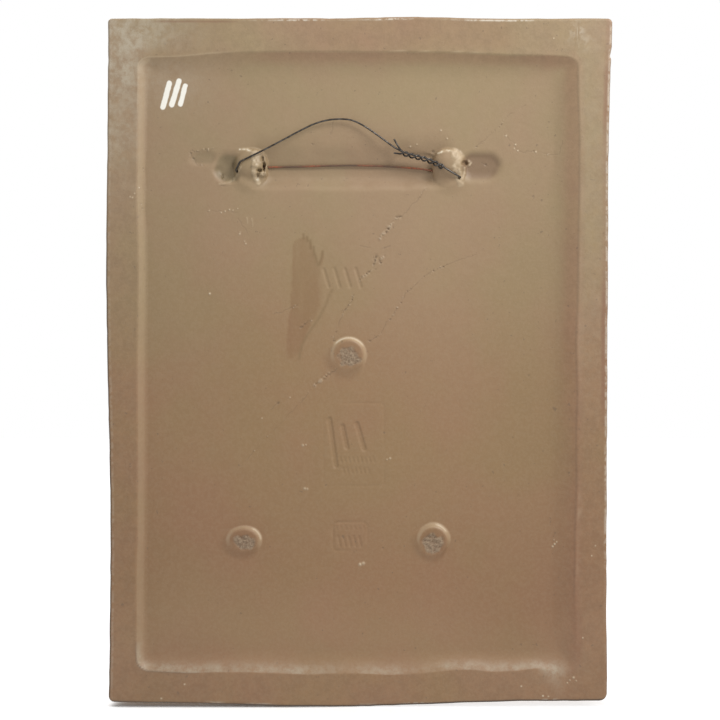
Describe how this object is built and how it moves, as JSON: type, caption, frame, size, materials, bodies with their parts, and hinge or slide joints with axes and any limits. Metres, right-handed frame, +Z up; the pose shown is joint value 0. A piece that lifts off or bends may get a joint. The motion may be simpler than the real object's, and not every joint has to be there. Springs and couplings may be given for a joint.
{
  "type": "decorative wall plaque",
  "caption": "Rectangular stoneware wall plaque with a framed leaf relief, a sunk back panel and a threaded steel hanging wire.",
  "frame": {"origin": "seat of the wall hook, under the crown of the hanging wire's arc on the back", "axes": "+Z up along the plaque's height, +Y out of the back towards the wall, the decorated face looks to -Y, +X to the left as the back is looked at"},
  "size_m": [0.2315, 0.02, 0.3172],
  "materials": {
    "stoneware": "unglazed brown stoneware, dusty and finely grained, matt",
    "wire_steel": "dark annealed steel wire with rust patches"
  },
  "bodies": {
    "root": {"plaque": "stoneware", "hanging_wire": "wire_steel"}
  },
  "joints": []
}
